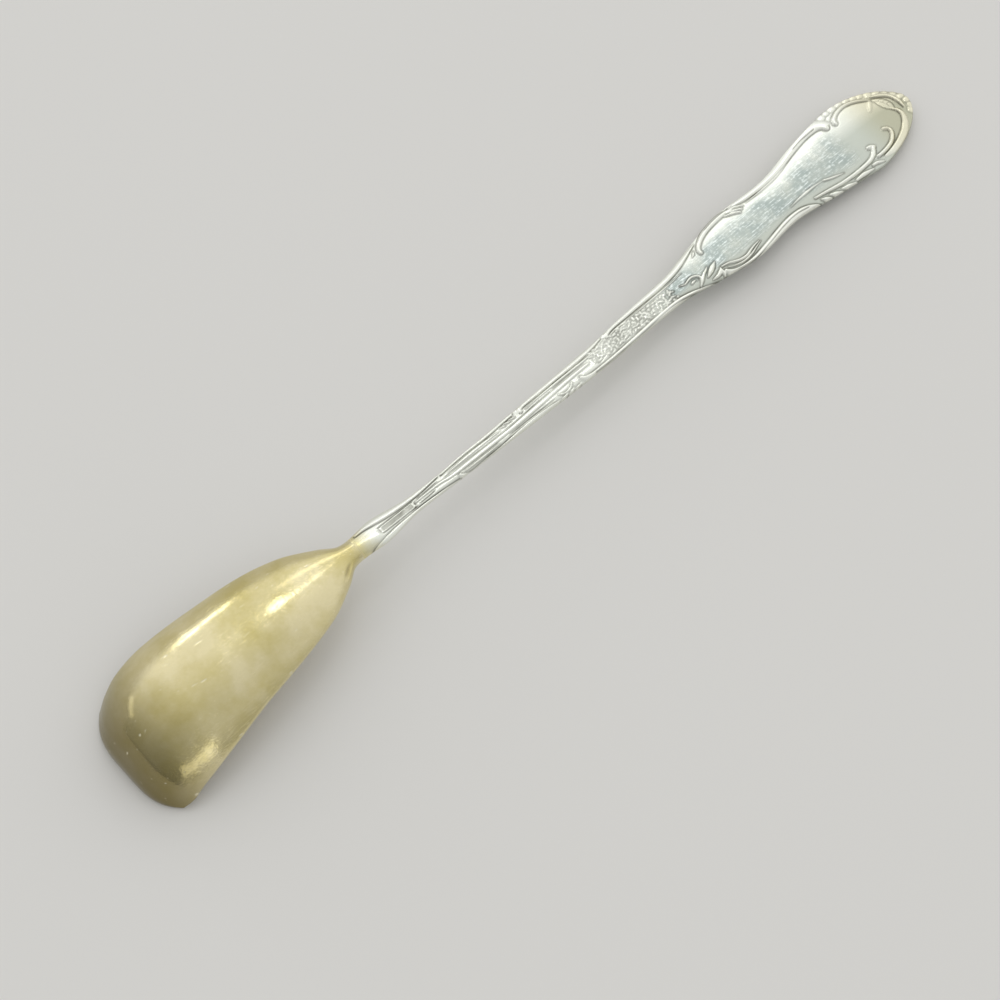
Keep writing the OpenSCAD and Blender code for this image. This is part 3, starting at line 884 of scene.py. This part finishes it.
# Scratches are a few hundredths of a mm wide; they are drawn coarser here, so that they show.
scratch_length = 2.5 * MM
scratch_width = 0.16 * MM
scratch_depthwise = 0.3 * MM
scratch_turn = -0.5
lay = add(tree, "ShaderNodeMapping", {
    "Vector": place, "Rotation": (0, 0, scratch_turn),
    "Scale": (1 / scratch_length, 1 / scratch_width, 1 / scratch_depthwise)}).outputs["Vector"]
scratch = add(tree, "ShaderNodeTexNoise", {"Vector": lay, "Scale": 1.0, "Detail": 2.0}).outputs["Fac"]
patchy = add(tree, "ShaderNodeMapRange", {
    "Value": cloud, "From Min": 0.22, "From Max": 0.6}).outputs["Result"]
wear = add(tree, "ShaderNodeAttribute", attribute_name="panel_wear").outputs["Fac"]
wear = add(tree, "ShaderNodeMath", {0: wear, 1: patchy}, operation="MULTIPLY").outputs["Value"]
colour = add(tree, "ShaderNodeMix", {
    "Factor": speck, "A": shade_silver, "B": white_silver}, data_type="RGBA").outputs["Result"]
bloomed = add(tree, "ShaderNodeAttribute", attribute_name="bloom").outputs["Fac"]
dulled = add(tree, "ShaderNodeMath", {
    0: bloomed, 1: bloom_share}, operation="MULTIPLY").outputs["Value"]
colour = add(tree, "ShaderNodeMix", {
    "Factor": dulled, "A": colour, "B": bloom_silver}, data_type="RGBA").outputs["Result"]
# On the panel the silver is painted darker grey-blue as shade over its real scratches, and painted glints
# light its specks.
hazed_and_shaded = add(tree, "ShaderNodeMath", {0: wear, 1: haze_and_shade_share}, operation="MULTIPLY").outputs["Value"]
fleck = add(tree, "ShaderNodeMath", {0: speck, 1: scratch}, operation="ADD").outputs["Value"]
glint = add(tree, "ShaderNodeMapRange", {
    "Value": fleck, "From Min": 1.0, "From Max": 1.18}).outputs["Result"]
haze_glint_mix = add(tree, "ShaderNodeMix", {
    "Factor": glint, "A": haze_and_shade_silver, "B": painted_glint_silver}, data_type="RGBA").outputs["Result"]
colour = add(tree, "ShaderNodeMix", {
    "Factor": hazed_and_shaded, "A": colour, "B": haze_glint_mix}, data_type="RGBA").outputs["Result"]
mellow_length = 7.0
mellow_start = (tip_x + nose_start) * MM
mellow_end = (tip_x + nose_start + mellow_length) * MM
mellow = add(tree, "ShaderNodeMapRange", {
    "Value": lengthwise, "From Min": mellow_start, "From Max": mellow_end, "To Max": mellow_share},
    interpolation_type="SMOOTHSTEP").outputs["Result"]
colour = add(tree, "ShaderNodeMix", {
    "Factor": mellow, "A": colour, "B": mellow_silver},
    data_type="RGBA", blend_type="MULTIPLY").outputs["Result"]
gold_ragged = 3.0 * MM
gold_full = 1.2
gold_gone = 4.6
gold_start = (tip_x + handle_start + gold_full) * MM
gold_end = (tip_x + handle_start + gold_gone) * MM
neck_at = add(tree, "ShaderNodeMath", {
    0: cloud, 1: gold_ragged, 2: lengthwise}, operation="MULTIPLY_ADD").outputs["Value"]
gold_left = add(tree, "ShaderNodeMapRange", {
    "Value": neck_at, "From Min": gold_start, "From Max": gold_end,
    "To Min": gold_share, "To Max": 0.0}, interpolation_type="SMOOTHSTEP").outputs["Result"]
colour = add(tree, "ShaderNodeMix", {
    "Factor": gold_left, "A": colour, "B": gold_tint}, data_type="RGBA").outputs["Result"]
# Feet of ribs, cut lines and grooves are darkened: partly tarnished silver, partly painted shade.
kept = add(tree, "ShaderNodeMapRange", {
    "Value": cloud, "From Min": 0.35, "From Max": 0.6, "To Min": 0.5, "To Max": 1.0}).outputs["Result"]
tarnish_and_shade = add(tree, "ShaderNodeAttribute", attribute_name="recess").outputs["Fac"]
tarnish_and_shade = add(tree, "ShaderNodeMath", {0: tarnish_and_shade, 1: kept}, operation="MULTIPLY").outputs["Value"]
colour = add(tree, "ShaderNodeMix", {
    "Factor": tarnish_and_shade, "A": colour, "B": tarnish_and_shade_brown}, data_type="RGBA").outputs["Result"]
silver_roughness = 0.16
cloud_roughness = 0.16
wear_roughness = 0.12
tarnish_roughness = 0.25
gloss = add(tree, "ShaderNodeMath", {
    0: cloud, 1: cloud_roughness, 2: silver_roughness}, operation="MULTIPLY_ADD").outputs["Value"]
gloss = add(tree, "ShaderNodeMath", {
    0: wear, 1: wear_roughness, 2: gloss}, operation="MULTIPLY_ADD").outputs["Value"]
gloss = add(tree, "ShaderNodeMath", {
    0: tarnish_and_shade, 1: tarnish_roughness, 2: gloss}, operation="MULTIPLY_ADD").outputs["Value"]
polish_depth = 0.004
pit_depth = 0.012
scratch_depth = 0.012
height = add(tree, "ShaderNodeMath", {
    0: wear, 1: pit_depth, 2: polish_depth}, operation="MULTIPLY_ADD").outputs["Value"]
height = add(tree, "ShaderNodeMath", {0: speck, 1: height}, operation="MULTIPLY").outputs["Value"]
scored = add(tree, "ShaderNodeMath", {0: scratch, 1: wear}, operation="MULTIPLY").outputs["Value"]
height = add(tree, "ShaderNodeMath", {
    0: scored, 1: scratch_depth, 2: height}, operation="MULTIPLY_ADD").outputs["Value"]
normal = add(tree, "ShaderNodeBump", {
    "Strength": 1.0, "Distance": MM, "Height": height}).outputs["Normal"]
shader = add(tree, "ShaderNodeBsdfPrincipled", {
    "Base Color": colour, "Metallic": 1.0, "Roughness": gloss, "Normal": normal}).outputs["BSDF"]
add(tree, "ShaderNodeOutputMaterial", {"Surface": shader})
handle.data.materials.append(sterling)
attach(handle, "root")
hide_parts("handle")


# Floor: a plain pale table top under the spoon, of smooth painted board.
# It reaches so far that the camera sees none of its edges.
floor_half = 4000.0
bm = bmesh.new()
bmesh.ops.create_grid(bm, x_segments=1, y_segments=1, size=floor_half * MM)
mesh = bpy.data.meshes.new("floor")
bm.to_mesh(mesh)
bm.free()
floor = bpy.data.objects.new("floor", mesh)
bpy.context.collection.objects.link(floor)

# Painted board: off-white and matt, so that it takes soft shadows and has no shine.
board_white = linear("#E2E0DC")
board = bpy.data.materials.new("painted_board")
board.use_nodes = True
tree = board.node_tree
tree.nodes.clear()
shader = add(tree, "ShaderNodeBsdfPrincipled", {
    "Base Color": board_white, "Roughness": 0.75}).outputs["BSDF"]
add(tree, "ShaderNodeOutputMaterial", {"Surface": shader})
floor.data.materials.append(board)


# Light: a soft lamp high behind the stem, one lower beyond the far side, three larger ones low round the
# spoon, and a pale room that is dimmer at the horizon and beyond the bowl's tip.
def lamp(name, azimuth, elevation, distance, width, height, radiance):
    """A soft lamp aimed at the spoon, its lengths in m, its power worked out from its face's brightness."""
    light = bpy.data.lights.new(name, "AREA")
    light.shape = "RECTANGLE"
    light.size = width
    light.size_y = height
    light.energy = radiance * math.pi * width * height
    holder = bpy.data.objects.new(name, light)
    azimuth, elevation = math.radians(azimuth), math.radians(elevation)
    flat = math.cos(elevation)
    ray = Vector((flat * math.cos(azimuth), flat * math.sin(azimuth), math.sin(elevation)))
    holder.location = distance * ray
    holder.rotation_euler = (-ray).to_track_quat("-Z", "Y").to_euler()
    bpy.context.collection.objects.link(holder)


lamp("high_lamp", azimuth=36, elevation=66, distance=0.7, width=0.13, height=0.13, radiance=2.6)
lamp("far_lamp", azimuth=44, elevation=38, distance=0.8, width=0.26, height=0.26, radiance=0.65)
lamp("side_lamp", azimuth=84, elevation=13, distance=2.5, width=0.4, height=0.4, radiance=2.2)
lamp("strip_lamp", azimuth=132, elevation=9, distance=2.5, width=1.1, height=0.4, radiance=0.6)
lamp("near_lamp", azimuth=-110, elevation=9, distance=2.5, width=1.2, height=0.55, radiance=0.8)
bright_side = Vector((0.8, 0.6, 0.1)).normalized()
dark_level = 0.5
bright_level = 1.1
ceiling_share = 0.97
horizon_share = 0.72
room_white = linear("#F4F5F5")
room = bpy.data.worlds.new("pale_room")
bpy.context.scene.world = room
room.use_nodes = True
tree = room.node_tree
tree.nodes.clear()
sight = add(tree, "ShaderNodeTexCoord").outputs["Generated"]
towards = add(tree, "ShaderNodeVectorMath", {
    0: sight, 1: bright_side}, operation="DOT_PRODUCT").outputs["Value"]
level = add(tree, "ShaderNodeMapRange", {
    "Value": towards, "From Min": -0.9, "From Max": 0.5,
    "To Min": dark_level, "To Max": bright_level}).outputs["Result"]
upward = add(tree, "ShaderNodeSeparateXYZ", {"Vector": sight}).outputs["Z"]
overhead = add(tree, "ShaderNodeMapRange", {
    "Value": upward, "From Min": 0.2, "From Max": 0.75,
    "To Min": 1.0, "To Max": ceiling_share}).outputs["Result"]
low_down = add(tree, "ShaderNodeMapRange", {
    "Value": upward, "From Min": 0.0, "From Max": 0.3,
    "To Min": horizon_share, "To Max": 1.0}).outputs["Result"]
level = add(tree, "ShaderNodeMath", {0: level, 1: overhead}, operation="MULTIPLY").outputs["Value"]
level = add(tree, "ShaderNodeMath", {0: level, 1: low_down}, operation="MULTIPLY").outputs["Value"]
sky = add(tree, "ShaderNodeBackground", {
    "Color": room_white, "Strength": level}).outputs["Background"]
add(tree, "ShaderNodeOutputWorld", {"Surface": sky})
